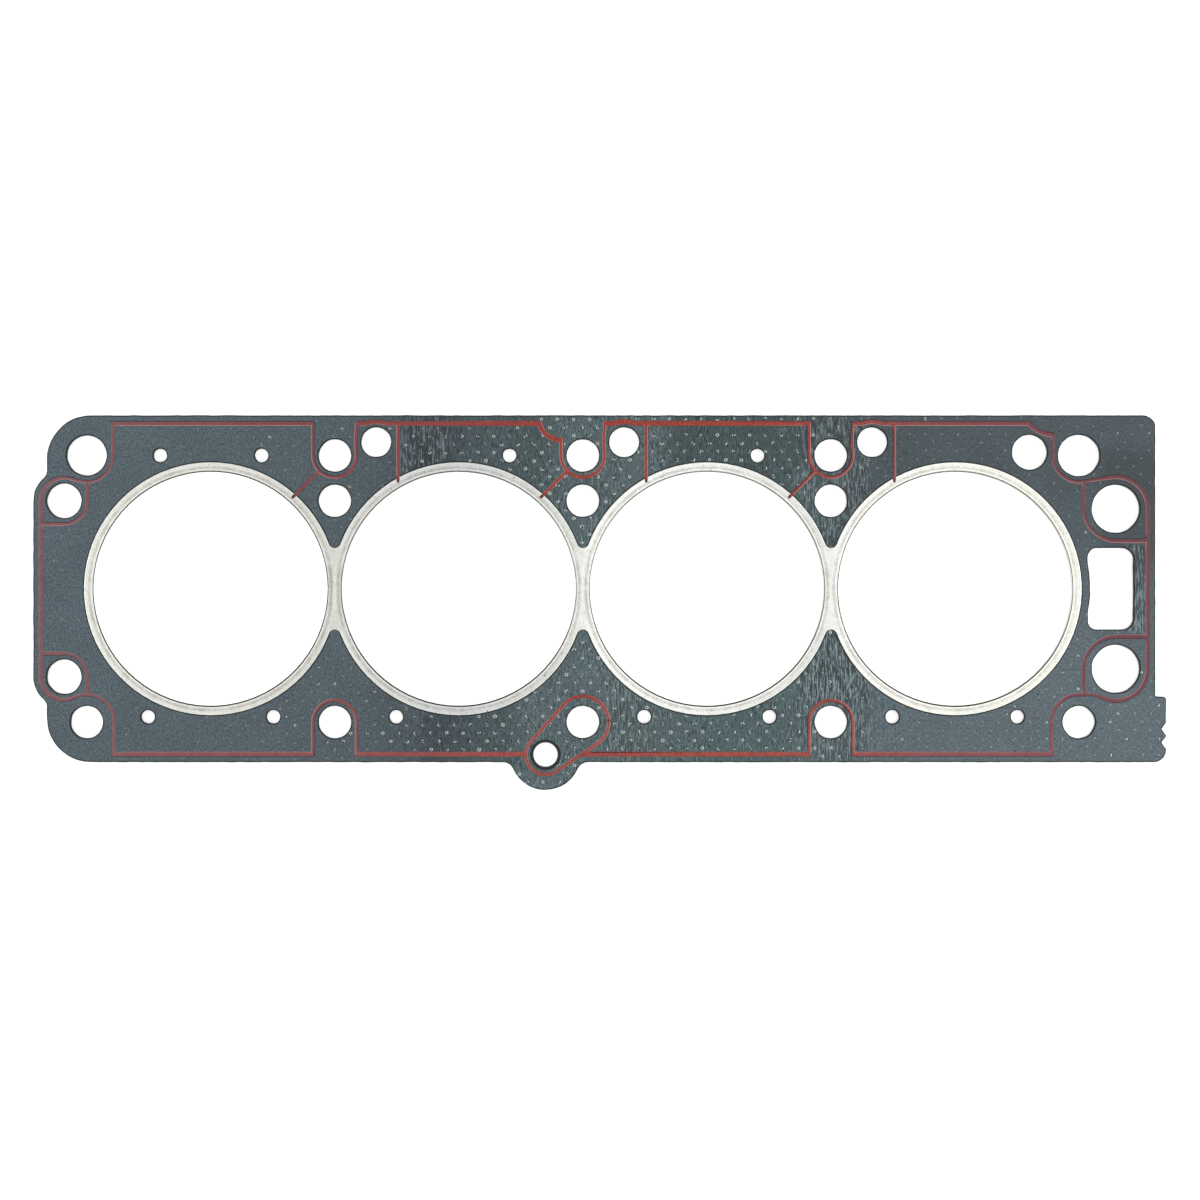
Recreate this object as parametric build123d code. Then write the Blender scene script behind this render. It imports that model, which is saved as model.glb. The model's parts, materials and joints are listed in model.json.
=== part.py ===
from build123d import *
import os
from math import asin, atan2, cos, hypot, pi, sin, sqrt

# Composite cylinder head gasket for an in-line engine, lying flat with its head side up.
# X runs along the row of bores, Y across it and Z towards the cylinder head. The origin is the centre
# of the head bolt pattern, half way through the steel core. Lengths are in millimetres.

# Bores and head bolts
bore_count = 4
bore_diameter = 87.5
bore_land = 5.5
bolt_row_outset = 6.25
bolt_hole_diameter = 12.2
left_dowel_hole_diameter = 15.0
right_dowel_hole_diameter = 15.6

# Sheet and print thicknesses
core_thickness = 0.3
facing_thickness = 0.5
flange_sheet = 0.2
bead_height = 0.15

# Folded flange round the bores, each width measured from the finished bore
upper_leg_width = 3.65
lower_lip_width = 2.4
fold_clearance = 0.1
fold_radius = 0.25
coined_band_width = 1.25
coined_band_depth = 0.05
web_fillet_radius = 2.3

# Water, oil and vent holes, placed from the head bolts
side_water_diameter = 11.2
side_water_dx = 15.5
side_water_dy = 5.0
middle_water_diameter = 12.2
middle_water_inset = 17.0
end_water_diameter = 13.1
end_water_dx = 18.5
end_water_dy = 1.2
left_water_diameter = 13.0
left_water_dx = 8.5
left_water_inset = 17.0
right_water_diameter = 18.0
right_water_dx = 13.8
right_water_inset = 20.0
vent_diameter = 5.1
upper_vent_dx = 19.0
lower_vent_dx = 23.5
lower_vent_inset = 2.0
oil_feed_diameter = 9.1
oil_feed_dx = 14.0
oil_feed_dy = 12.2
oil_feed_cutback = 0.75

# Return slot beside the last bore
slot_dx = 11.9
slot_width = 17.2
slot_length = 30.6
slot_left_radius = 3.4
slot_right_radius = 4.3
slot_land = 3.3

# Outer edge
side_margin = 15.0
left_margin = 14.9
right_margin = 28.6
left_corner_radius = 16.5
right_corner_radius = 4.5
ear_radius = 11.5
ear_blend_radius = 3.0
lobe_radius = 13.2
lobe_blend_radius = 4.5
tab_reach = 4.0
tab_length = 24.5
tab_corner_radius = 4.5
tab_top_radius = 1.2
tab_root_radius = 0.8
notch_count = 2
notch_width = 4.6
notch_land = 0.45
notch_depth = 1.7
notch_margin = 7.35
notch_rounding = 0.5

# Sealing bead: widths, and gaps from its centre line to the edges that it follows
main_bead_width = 1.8
loop_bead_width = 1.25
bead_edge_gap = 3.0
bolt_bead_gap = 2.1
left_dowel_bead_gap = 2.4
corner_bead_gap = 4.2
left_water_bead_gap = 2.2
right_water_bead_gap = 3.0
oil_bolt_bead_gap = 3.6
oil_feed_bead_gap = 2.85
bump_blend_radius = 8.0
rib_dx = 23.75
rib_overrun = 1.4
middle_step_drop = 6.25
middle_step_radius = 8.4
end_step_drop = 4.2
end_step_radius = 11.8
shoulder_dx = 4.7
shoulder_radius = 4.0
shortest_run = 0.001

# Places that follow from the sizes
bore_radius = bore_diameter / 2
bore_pitch = bore_diameter + bore_land
bolt_y = bore_radius + bolt_row_outset
bolt_x = [(i - bore_count / 2) * bore_pitch for i in range(bore_count + 1)]
bore_x = [x + bore_pitch / 2 for x in bolt_x[:-1]]
middle_bolt_x = bolt_x[1:-1]
left_x = bolt_x[0]
right_x = bolt_x[-1]
oil_bolt_x = bolt_x[bore_count // 2]
looped_bolt_x = [x for x in middle_bolt_x if x != oil_bolt_x]
facing_z = core_thickness / 2
face_z = facing_z + facing_thickness
flange_z = face_z + flange_sheet
sheet_bore_radius = bore_radius + flange_sheet + fold_clearance
flange_edge_radius = bore_radius + upper_leg_width
edge_y = bolt_y + side_margin
notch_pitch = notch_width + notch_land
left_edge_x = left_x - left_margin
right_edge_x = right_x + right_margin
slot_x = right_x + slot_dx


class Hole:
    """A round hole through the sheets: its centre, its radius and the bead that may run round it."""

    def __init__(self, x, y, diameter):
        self.x = x
        self.y = y
        self.r = diameter / 2

    def disc(self):
        return Pos(self.x, self.y) * Circle(self.r)

    def ring(self, gap, turn):
        """A stop for a bead that passes round the hole, turning left (1) or right (-1)."""
        return (self.x, self.y, self.r + gap, turn)


upper_bolts = [Hole(x, bolt_y, bolt_hole_diameter) for x in middle_bolt_x]
lower_bolts = [Hole(x, -bolt_y, bolt_hole_diameter) for x in bolt_x]
left_dowel = Hole(left_x, bolt_y, left_dowel_hole_diameter)
right_dowel = Hole(right_x, bolt_y, right_dowel_hole_diameter)
side_waters = [Hole(x + side_water_dx, bolt_y + side_water_dy, side_water_diameter) for x in middle_bolt_x]
middle_waters = [Hole(x, bolt_y - middle_water_inset, middle_water_diameter) for x in middle_bolt_x]
end_water = Hole(right_x - end_water_dx, bolt_y + end_water_dy, end_water_diameter)
left_waters = [
    Hole(left_x - left_water_dx, side * (bolt_y - left_water_inset), left_water_diameter) for side in (1, -1)
]
right_waters = [
    Hole(right_x + right_water_dx, side * (bolt_y - right_water_inset), right_water_diameter)
    for side in (1, -1)
]
oil_feed = Hole(oil_bolt_x - oil_feed_dx, -bolt_y - oil_feed_dy, oil_feed_diameter)


def vent_holes():
    """Small holes beside the bores. The oil feed takes the place of the lower one beside it."""
    upper = [bore_x[0] - upper_vent_dx] + [x + upper_vent_dx for x in bore_x[:-1]]
    lower = [x + side * lower_vent_dx for x in bore_x for side in (-1, 1)]
    lower = [x for x in lower if abs(x - oil_feed.x) > oil_feed_dx]
    lower_y = -bolt_y + lower_vent_inset
    return [Hole(x, bolt_y, vent_diameter) for x in upper] + [Hole(x, lower_y, vent_diameter) for x in lower]


# Flat shapes

def nearest(sketch, x, y):
    """The corner of a sketch that lies nearest to a point."""
    return min(sketch.vertices(), key=lambda v: hypot(v.X - x, v.Y - y))


def rounded(sketch, corners):
    """The sketch with its corner nearest to each (x, y) rounded to the radius given with it."""
    for x, y, radius in corners:
        sketch = fillet(nearest(sketch, x, y), radius)
    return sketch


def rectangle(x0, y0, x1, y1):
    return Pos((x0 + x1) / 2, (y0 + y1) / 2) * Rectangle(x1 - x0, y1 - y0)


def notches():
    """Identification notches in the tab's edge, listed from the gasket's corner upwards."""
    edge_x = right_edge_x + tab_reach
    ys = [-edge_y + notch_margin + i * notch_pitch for i in range(notch_count)]
    corners = []
    cuts = Sketch()
    for y in ys:
        cuts += make_face(
            Polyline(
                (edge_x + notch_depth, y - notch_width),
                (edge_x - notch_depth, y),
                (edge_x + notch_depth, y + notch_width),
                close=True,
            )
        )
        corners += [(edge_x, y + side * notch_width / 2, notch_rounding) for side in (-1, 1)]
        corners.append((edge_x - notch_depth, y, notch_rounding))
    return cuts, corners


def outline():
    """The gasket's outer edge: a plate with two ears, an oil lobe and a notched tab."""
    plate = rectangle(left_edge_x, -edge_y, right_edge_x, edge_y)
    plate = rounded(
        plate,
        [
            (left_edge_x, edge_y, left_corner_radius),
            (left_edge_x, -edge_y, left_corner_radius),
            (right_edge_x, edge_y, right_corner_radius),
        ],
    )

    ear = left_waters[0]
    plate += rectangle(ear.x - ear_radius, -ear.y, left_x, ear.y)
    for hole in left_waters:
        plate += Pos(hole.x, hole.y) * Circle(ear_radius)
    reach = sqrt(ear_radius**2 - (ear.x - left_edge_x) ** 2)
    plate = rounded(plate, [(left_edge_x, side * (ear.y + reach), ear_blend_radius) for side in (1, -1)])

    plate += Pos(oil_feed.x, oil_feed.y) * Circle(lobe_radius)
    reach = sqrt(lobe_radius**2 - (edge_y + oil_feed.y) ** 2)
    plate = rounded(plate, [(oil_feed.x + side * reach, -edge_y, lobe_blend_radius) for side in (1, -1)])

    tab_x = right_edge_x + tab_reach
    tab_y = -edge_y + tab_length
    plate += rectangle(right_x, -edge_y, tab_x, tab_y)
    plate = rounded(
        plate,
        [
            (tab_x, -edge_y, tab_corner_radius),
            (tab_x, tab_y, tab_top_radius),
            (right_edge_x, tab_y, tab_root_radius),
        ],
    )
    cuts, corners = notches()
    return rounded(plate - cuts, corners)


def slot():
    """The return slot. Its inner side keeps an even land beside the last bore's flange."""
    x0 = slot_x - slot_width / 2
    x1 = slot_x + slot_width / 2
    y = slot_length / 2
    opening = rounded(
        rectangle(x0, -y, x1, y),
        [
            (x0, y, slot_left_radius),
            (x0, -y, slot_left_radius),
            (x1, y, slot_right_radius),
            (x1, -y, slot_right_radius),
        ],
    )
    return opening - Pos(bore_x[-1], 0) * Circle(flange_edge_radius + slot_land)


def openings():
    """Every opening that the core and both facings share, bores included."""
    holes = upper_bolts + lower_bolts + [left_dowel, right_dowel, end_water, oil_feed]
    holes += side_waters + middle_waters + left_waters + right_waters + vent_holes()
    cuts = slot()
    for hole in holes:
        cuts += hole.disc()
    for x in bore_x:
        cuts += Pos(x, 0) * Circle(sheet_bore_radius)
    return cuts


def flange_face():
    """The flange seen from above, its bores not yet cut: four discs with their webs filled in."""
    discs = Sketch()
    for x in bore_x:
        discs += Pos(x, 0) * Circle(flange_edge_radius)
    waist = sqrt(flange_edge_radius**2 - (bore_pitch / 2) ** 2)
    webs = [(x, side * waist, web_fillet_radius) for x in middle_bolt_x for side in (1, -1)]
    return rounded(discs, webs)


# Bead paths

def tangent(start, end):
    """The straight run of a bead from one stop to the next, as its two end points.

    A stop is (x, y, radius, turn): a circle that the bead passes round, or a point with radius 0.
    """
    x0, y0, r0, turn0 = start
    x1, y1, r1, turn1 = end
    lean = (r1 * turn1 - r0 * turn0) / hypot(x1 - x0, y1 - y0)
    heading = atan2(y1 - y0, x1 - x0) - asin(max(-1.0, min(1.0, lean)))
    nx, ny = -sin(heading), cos(heading)
    return (x0 - r0 * turn0 * nx, y0 - r0 * turn0 * ny), (x1 - r1 * turn1 * nx, y1 - r1 * turn1 * ny)


def arc_round(stop, entry, leave):
    """The arc of a bead round one stop, from where it arrives to where it leaves."""
    x, y, radius, turn = stop
    first = atan2(entry[1] - y, entry[0] - x)
    swept = turn * ((turn * (atan2(leave[1] - y, leave[0] - x) - first)) % (2 * pi))
    middle = first + swept / 2
    return ThreePointArc(entry, (x + radius * cos(middle), y + radius * sin(middle)), leave)


def point(x, y):
    return (x, y, 0.0, 1)


def belt(stops, closed=False):
    """The line that a bead follows: it runs like a belt past its stops."""
    following = stops[1:] + (stops[:1] if closed else [])
    runs = [tangent(a, b) for a, b in zip(stops, following)]
    pieces = [Line(a, b) for a, b in runs if hypot(b[0] - a[0], b[1] - a[1]) > shortest_run]
    arrivals = [runs[-1]] + runs if closed else runs
    departures = runs if closed else runs[1:]
    turning = stops if closed else stops[1:-1]
    for stop, arriving, leaving in zip(turning, arrivals, departures):
        if stop[2] > 0:
            pieces.append(arc_round(stop, arriving[1], leaving[0]))
    return Curve() + pieces


def bead(stops, width, closed=False):
    """A printed line of one width that follows a belt."""
    return trace(belt(stops, closed), line_width=width)


def oil_loop():
    """The closed loop round the middle lower bolt and the oil feed."""
    oil_bolt = lower_bolts[bore_count // 2]
    return [oil_bolt.ring(oil_bolt_bead_gap, 1), oil_feed.ring(oil_feed_bead_gap, 1)]


def bump(hole):
    """Stops that lift the upper main line over a side water hole, where its ring reaches the line."""
    ring = hole.ring(bolt_bead_gap, -1)
    line_y = edge_y - bead_edge_gap
    if hole.y + ring[2] <= line_y:
        return []
    rise = line_y + bump_blend_radius - hole.y
    run = sqrt((ring[2] + bump_blend_radius) ** 2 - rise**2)
    blend_y = line_y + bump_blend_radius
    return [
        (hole.x - run, blend_y, bump_blend_radius, 1),
        ring,
        (hole.x + run, blend_y, bump_blend_radius, 1),
    ]


def step(leg_x, drop, radius):
    """Stops that end the upper main line in a curve down to the top of the leg at leg_x."""
    line_y = edge_y - bead_edge_gap
    end_y = line_y - drop
    start_x = leg_x - sqrt(radius**2 - (radius - drop) ** 2)
    return [
        point(start_x, line_y),
        (leg_x, end_y + radius, radius, 1),
        point(leg_x + loop_bead_width / 2, end_y),
    ]


def main_lines():
    """The straight lines along both edges, their bumps and the two steps of the upper one."""
    line_y = edge_y - bead_edge_gap
    half = loop_bead_width / 2
    leg = bolt_hole_diameter / 2 + bolt_bead_gap
    first_leg = left_x + left_dowel.r + left_dowel_bead_gap
    last_leg = right_x - right_dowel.r - bolt_bead_gap
    starts = [first_leg - half] + [x + leg - half for x in middle_bolt_x]
    lifts = [[]] + [bump(hole) for hole in side_waters]
    ends = [[point(x - leg + half, line_y)] for x in middle_bolt_x]
    ends[middle_bolt_x.index(oil_bolt_x)] = step(oil_bolt_x - leg, middle_step_drop, middle_step_radius)
    ends.append(step(last_leg, end_step_drop, end_step_radius))
    lines = Sketch()
    for start, lift, end in zip(starts, lifts, ends):
        lines += bead([point(start, line_y)] + lift + end, main_bead_width)

    corner = bolt_hole_diameter / 2 + corner_bead_gap
    loop_x = [left_x + corner] + [x + side * leg for x in looped_bolt_x for side in (-1, 1)] + [right_x - corner]
    for start, end in zip(loop_x[::2], loop_x[1::2]):
        lines += bead([point(start - half, -line_y), point(end + half, -line_y)], main_bead_width)
    return lines - make_face(belt(oil_loop(), closed=True))


def bolt_loops():
    """U-shaped loops that hang from the main lines round the head bolts, and the closed oil loop."""
    line_y = edge_y - bead_edge_gap
    leg = bolt_hole_diameter / 2 + bolt_bead_gap
    loops = Sketch()
    for hole, water in zip(upper_bolts, side_waters):
        top = line_y - middle_step_drop if hole.x == oil_bolt_x else line_y
        stops = [point(hole.x - leg, top), hole.ring(bolt_bead_gap, 1)]
        stops += [water.ring(bolt_bead_gap, -1), point(hole.x + leg, line_y)]
        loops += bead(stops, loop_bead_width)
    for x in looped_bolt_x:
        ring = Hole(x, -bolt_y, bolt_hole_diameter).ring(bolt_bead_gap, -1)
        loops += bead([point(x - leg, -line_y), ring, point(x + leg, -line_y)], loop_bead_width)
    return loops + bead(oil_loop(), loop_bead_width, closed=True)


def end_loops():
    """The bead down each end of the gasket, round the corner bolts and the end water holes."""
    line_y = edge_y - bead_edge_gap
    left_top, left_bottom = left_waters
    first, last = lower_bolts[0], lower_bolts[-1]
    corner = first.r + corner_bead_gap
    left_ring = left_dowel.r + left_dowel_bead_gap
    right_ring = right_dowel.r + bolt_bead_gap
    left_stops = [
        point(left_x + left_ring, line_y),
        left_dowel.ring(left_dowel_bead_gap, -1),
        left_top.ring(left_water_bead_gap, 1),
        left_bottom.ring(left_water_bead_gap, 1),
        first.ring(corner_bead_gap, -1),
        point(left_x + corner, -line_y),
    ]
    right_top, right_bottom = right_waters
    shoulder = (
        last.x + shoulder_dx,
        last.y + corner - shoulder_radius,
        shoulder_radius,
        1,
    )
    right_stops = [
        point(right_x - right_ring, line_y - end_step_drop),
        right_dowel.ring(bolt_bead_gap, 1),
        right_top.ring(right_water_bead_gap, -1),
        right_bottom.ring(right_water_bead_gap, -1),
        shoulder,
        last.ring(corner_bead_gap, 1),
        point(right_x - corner, -line_y),
    ]
    loops = bead(left_stops, loop_bead_width) + bead(right_stops, loop_bead_width)

    for side, hole, gap, upper_ring in (
        (-1, left_top, left_water_bead_gap, left_ring),
        (1, right_top, right_water_bead_gap, right_ring),
    ):
        inner_x = hole.x - side * (hole.r + gap)
        outer_x = hole.x + side * (hole.r + gap)
        cross_y = hole.y - hole.r - gap
        upper_end = bolt_y - upper_ring
        lower_end = -bolt_y + corner
        upper = [point(inner_x, upper_end), hole.ring(gap, side), point(outer_x, cross_y)]
        lower = [point(inner_x, lower_end), (hole.x, -hole.y, hole.r + gap, -side), point(outer_x, -cross_y)]
        loops += bead(upper, loop_bead_width) + bead(lower, loop_bead_width)
    return loops


def ribs():
    """Ribs beside each upper bolt: a straight one down to the next bore and a slanted one to the last.

    They are drawn on past the flange's edge, which cuts them to its curve.
    """
    line_y = edge_y - bead_edge_gap
    tip_radius = flange_edge_radius - rib_overrun
    slope = 1 / sqrt(2)
    result = Sketch()
    for hole, before, after in zip(upper_bolts, bore_x[:-1], bore_x[1:]):
        x = hole.x + rib_dx
        tip_y = sqrt(tip_radius**2 - (x - after) ** 2)
        result += bead([point(x, line_y), point(x, tip_y)], loop_bead_width)
        along = slope * (hole.x - before) + slope * hole.y
        square = (hole.x - before) ** 2 + hole.y**2 - tip_radius**2
        reach = along - sqrt(along**2 - square)
        tip = point(hole.x - slope * reach, hole.y - slope * reach)
        start = hole.r + bolt_bead_gap
        result += bead([point(hole.x - slope * start, hole.y - slope * start), tip], loop_bead_width)
    return result


# Solids

def at(z, sketch, thickness):
    """A sheet of the given thickness whose lower face lies at z."""
    return Pos(0, 0, z) * extrude(sketch, thickness)


def facing(sheet, z):
    cutback = Pos(oil_feed.x, oil_feed.y) * Circle(oil_feed.r + oil_feed_cutback)
    return at(z, sheet - cutback, facing_thickness)


def fold_section():
    """The flange's section beside one bore: upper leg, bore wall and lower lip in one sheet."""
    lip_radius = bore_radius + lower_lip_width
    outer = rectangle(bore_radius, -flange_z, lip_radius, flange_z)
    outer = rounded(outer, [(bore_radius, side * flange_z, fold_radius) for side in (1, -1)])
    band = rectangle(bore_radius, flange_z - coined_band_depth, bore_radius + coined_band_width, flange_z)
    inner = rectangle(bore_radius + flange_sheet, -face_z, lip_radius, face_z)
    return outer - band - inner


def bore_flange():
    """One sheet: an upper leg with webs, a folded wall through each bore and a lip under each."""
    upper_leg = flange_face()
    for x in bore_x:
        upper_leg -= Pos(x, 0) * Circle(bore_radius + lower_lip_width)
    flange = at(face_z, upper_leg, flange_sheet)
    fold = revolve(Plane.XZ * fold_section(), Axis.Z)
    for x in bore_x:
        flange += Pos(x, 0, 0) * fold
    return flange


def beads():
    """One face's whole print, which stops at the flange's edge."""
    network = main_lines() + bolt_loops() + end_loops() + ribs()
    return at(face_z, network - flange_face(), bead_height)


os.makedirs("parts", exist_ok=True)
sheet = outline() - openings()
upper_bead = beads()
nodes = {
    "steel_core": at(-facing_z, sheet, core_thickness),
    "upper_facing": facing(sheet, facing_z),
    "lower_facing": facing(sheet, -face_z),
    "bore_flange": bore_flange(),
    "upper_sealing_bead": upper_bead,
    "lower_sealing_bead": mirror(upper_bead, Plane.XY),
}
for name, shape in nodes.items():
    export_step(shape, f"parts/{name}.step")
    print(name, len(shape.solids()), "solid,", round(shape.volume), "mm3")
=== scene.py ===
import json
import math
import random

import bmesh
import bpy
from mathutils import Matrix, Vector, noise
from mathutils.bvhtree import BVHTree


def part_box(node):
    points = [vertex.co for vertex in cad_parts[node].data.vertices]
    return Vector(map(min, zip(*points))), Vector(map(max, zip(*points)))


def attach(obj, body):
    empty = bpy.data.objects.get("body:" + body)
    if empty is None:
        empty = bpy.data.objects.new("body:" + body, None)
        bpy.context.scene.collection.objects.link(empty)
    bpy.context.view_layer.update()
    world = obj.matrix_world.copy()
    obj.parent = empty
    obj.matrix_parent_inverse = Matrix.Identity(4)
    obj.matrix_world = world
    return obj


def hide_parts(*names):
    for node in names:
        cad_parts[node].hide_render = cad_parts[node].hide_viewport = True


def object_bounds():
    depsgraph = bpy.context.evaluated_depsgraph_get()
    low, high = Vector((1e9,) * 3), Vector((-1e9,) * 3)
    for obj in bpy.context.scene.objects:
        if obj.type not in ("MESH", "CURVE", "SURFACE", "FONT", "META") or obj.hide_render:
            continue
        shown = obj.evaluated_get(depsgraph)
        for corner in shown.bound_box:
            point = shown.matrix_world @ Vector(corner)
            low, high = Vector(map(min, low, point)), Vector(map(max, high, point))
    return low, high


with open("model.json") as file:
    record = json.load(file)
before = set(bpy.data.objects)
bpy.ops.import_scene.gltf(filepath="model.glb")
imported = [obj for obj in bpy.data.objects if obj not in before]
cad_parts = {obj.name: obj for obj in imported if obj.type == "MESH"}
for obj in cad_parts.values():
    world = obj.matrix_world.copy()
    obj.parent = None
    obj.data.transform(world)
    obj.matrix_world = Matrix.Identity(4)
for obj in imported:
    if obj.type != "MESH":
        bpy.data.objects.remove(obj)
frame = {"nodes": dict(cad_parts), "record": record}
cad_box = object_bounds()

# Facings: a soft sheet on each side of the core, pressed from fibre bound with nitrile rubber and
# slate grey all through. The die that cuts the outline leaves it slightly ragged and draws the
# edge of the outer face down; the calender leaves upright streaks where its coating ran thin.
mm = 0.001
half_length = 210 * mm
longest_cut_edge = 1.5 * mm
cut_wander = 0.16 * mm
cut_wander_length = 3.2 * mm
cut_roll = [(0.11 * mm, 0.08 * mm), (0.26 * mm, 0.0), (0.09 * mm, 0.0)]
same_point = 0.002 * mm
same_level = 0.01 * mm


def merged_copy(node):
    """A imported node's mesh with its loose triangles joined, ready to be shaped."""
    bm = bmesh.new()
    bm.from_mesh(frame["nodes"][node].data)
    bmesh.ops.remove_doubles(bm, verts=bm.verts, dist=same_point)
    return bm


def upright(face):
    """Whether a face belongs to a cut wall, and not to one of the sheet's flat sides."""
    return abs(face.normal.z) < 0.5


def wall_points(bm):
    """Every point of a sheet's cut or printed edges."""
    return {v for f in bm.faces if upright(f) for v in f.verts}


def square_walls(bm):
    """Takes the diagonals out of the cut walls, which leaves one flat face to each step of an outline."""
    diagonals = [
        e
        for e in bm.edges
        if all(upright(f) for f in e.link_faces)
        and abs(e.verts[0].co.z - e.verts[1].co.z) > same_level
        and (e.verts[0].co.xy - e.verts[1].co.xy).length > same_level
    ]
    bmesh.ops.dissolve_edges(bm, edges=diagonals)


def divide_outline(bm, longest):
    """Divides the long edges of every outline, upper and lower alike, so that it can wander."""
    by_cuts = {}
    for e in bm.edges:
        if len(e.link_faces) == 2 and upright(e.link_faces[0]) != upright(e.link_faces[1]):
            by_cuts.setdefault(int(e.calc_length() / longest), []).append(e)
    for cuts, edges in sorted(by_cuts.items()):
        if cuts:
            bmesh.ops.subdivide_edges(bm, edges=edges, cuts=cuts, use_grid_fill=True)


def wander(bm, reach, length):
    """Moves every point sideways by a slow random swing, the same through the sheet's thickness."""
    swing_across = Vector((17, 31, 5))
    for v in bm.verts:
        place = Vector((v.co.x, v.co.y, 0)) / length
        v.co.x += reach * noise.noise(place)
        v.co.y += reach * noise.noise(place + swing_across)


def outer_faces(bm, side, level):
    """The flat faces that look out of the gasket on one side, at one level."""
    facing_out = [f for f in bm.faces if f.normal.z * side > 0.9]
    return [f for f in facing_out if abs(f.calc_center_median().z - level) < same_level]


def shape_edge(bm, faces, side, falls):
    """Sets flat faces in from their outline by each width in turn, and lets each outline down by its fall.

    Gives back the points of every line that it leaves, from the outline inwards.
    """
    lines = []
    for width, fall in falls:
        rim = bmesh.ops.inset_region(
            bm, faces=faces, thickness=width, use_boundary=True, use_even_offset=True
        )["faces"]
        inner = {v for f in faces for v in f.verts}
        for spoke in {e for f in rim for e in f.edges}:
            if (spoke.verts[0] in inner) != (spoke.verts[1] in inner) and spoke.calc_length() > 2 * width:
                moved, root = spoke.verts if spoke.verts[0] in inner else reversed(spoke.verts)
                moved.co = root.co + (moved.co - root.co).normalized() * width
        lines.append({v for f in rim for v in f.verts} - inner)
        for v in lines[-1]:
            v.co.z -= side * fall
    lines.append({v for f in rim for v in f.verts} & inner)
    bm.normal_update()
    return lines


def kept_mesh(bm, name):
    """Keeps a shape as a mesh and lets go of what shaped it."""
    mesh = bpy.data.meshes.new(name)
    bm.to_mesh(mesh)
    bm.free()
    return mesh


def finished_piece(bm, name, material, sharp_angle):
    """Turns a shape into a smooth-shaded object that rides with the gasket."""
    mesh = kept_mesh(bm, name)
    mesh.shade_smooth()
    mesh.set_sharp_from_angle(angle=math.radians(sharp_angle))
    mesh.materials.append(material)
    piece = bpy.data.objects.new(name, mesh)
    bpy.context.scene.collection.objects.link(piece)
    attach(piece, "root")
    return piece


def add(tree, kind, inputs=(), **settings):
    """A node with its settings, and with each input either linked or given a plain value."""
    made = tree.nodes.new(kind)
    for name, value in settings.items():
        setattr(made, name, value)
    for socket, value in dict(inputs).items():
        if isinstance(value, bpy.types.NodeSocket):
            tree.links.new(value, made.inputs[socket])
        else:
            made.inputs[socket].default_value = value
    return made


def math_node(tree, operation, a, b=0.0, clamp=False):
    """Sums, products and the like of two values."""
    return add(tree, "ShaderNodeMath", {0: a, 1: b}, operation=operation, use_clamp=clamp).outputs[0]


def mix_colour(tree, share, a, b):
    """The first colour with a share of the second laid over it."""
    return add(tree, "ShaderNodeMix", {"Factor": share, 6: a, 7: b}, data_type="RGBA").outputs[2]


def on_gasket(tree):
    """Where a point lies on the gasket: how far along it, across it and up, in metres."""
    place = add(tree, "ShaderNodeTexCoord").outputs["Object"]
    return add(tree, "ShaderNodeSeparateXYZ", {0: place}).outputs


def from_mesh(tree, name):
    """A value that was written on the piece's own points while it was shaped."""
    return add(tree, "ShaderNodeAttribute", attribute_name=name).outputs["Fac"]


def ramp(tree, value, low, high, to_low=0.0, to_high=1.0):
    """Eases a value from one end of a range to the other."""
    return add(
        tree,
        "ShaderNodeMapRange",
        {"Value": value, "From Min": low, "From Max": high, "To Min": to_low, "To Max": to_high},
        interpolation_type="SMOOTHSTEP",
    ).outputs[0]


def mask_group(name, inputs):
    """An empty node group with named inputs that puts out a Mask, and the sockets at its two ends."""
    group = bpy.data.node_groups.new(name, "ShaderNodeTree")
    for label, kind, value in inputs:
        group.interface.new_socket(label, in_out="INPUT", socket_type=kind).default_value = value
    group.interface.new_socket("Mask", in_out="OUTPUT", socket_type="NodeSocketFloat")
    return group, group.nodes.new("NodeGroupInput").outputs, group.nodes.new("NodeGroupOutput").inputs


def use_group(tree, group, **values):
    """Places a node group in a tree, with its inputs given by name, and gives back its mask."""
    inputs = {name.replace("_", " ").capitalize(): value for name, value in values.items()}
    return add(tree, "ShaderNodeGroup", inputs, node_tree=group).outputs["Mask"]


def new_material(name):
    """A material with its Principled shader, and the tree that both lie in."""
    material = bpy.data.materials.new(name)
    material.use_nodes = True
    tree = material.node_tree
    return material, tree, tree.nodes["Principled BSDF"]


def fine_relief(tree, shader, height, strength, depth):
    """Lets light catch a relief that is too fine for the mesh."""
    bump = add(tree, "ShaderNodeBump", {"Height": height, "Strength": strength, "Distance": depth})
    tree.links.new(bump.outputs[0], shader.inputs["Normal"])


def colour(red, green, blue):
    """A colour as the eye reads it, from 0 to 255, in the values that light is mixed in."""
    return tuple(
        (c / 255 / 12.92 if c <= 10 else ((c / 255 + 0.055) / 1.055) ** 2.4) for c in (red, green, blue)
    ) + (1.0,)


def along_gasket(tree, tones):
    """Runs through tones from the gasket's left end to its right, each at its own place in mm."""
    ends = {0: on_gasket(tree)[0], 1: -half_length, 2: half_length}
    made = add(tree, "ShaderNodeValToRGB", {0: add(tree, "ShaderNodeMapRange", ends).outputs[0]})
    stops = made.color_ramp.elements
    while len(stops) < len(tones):
        stops.new(0.5)
    for stop, (x, tone) in zip(stops, tones):
        stop.position = 0.5 + 0.5 * x * mm / half_length
        stop.color = tone
    return made.outputs[0]


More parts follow.
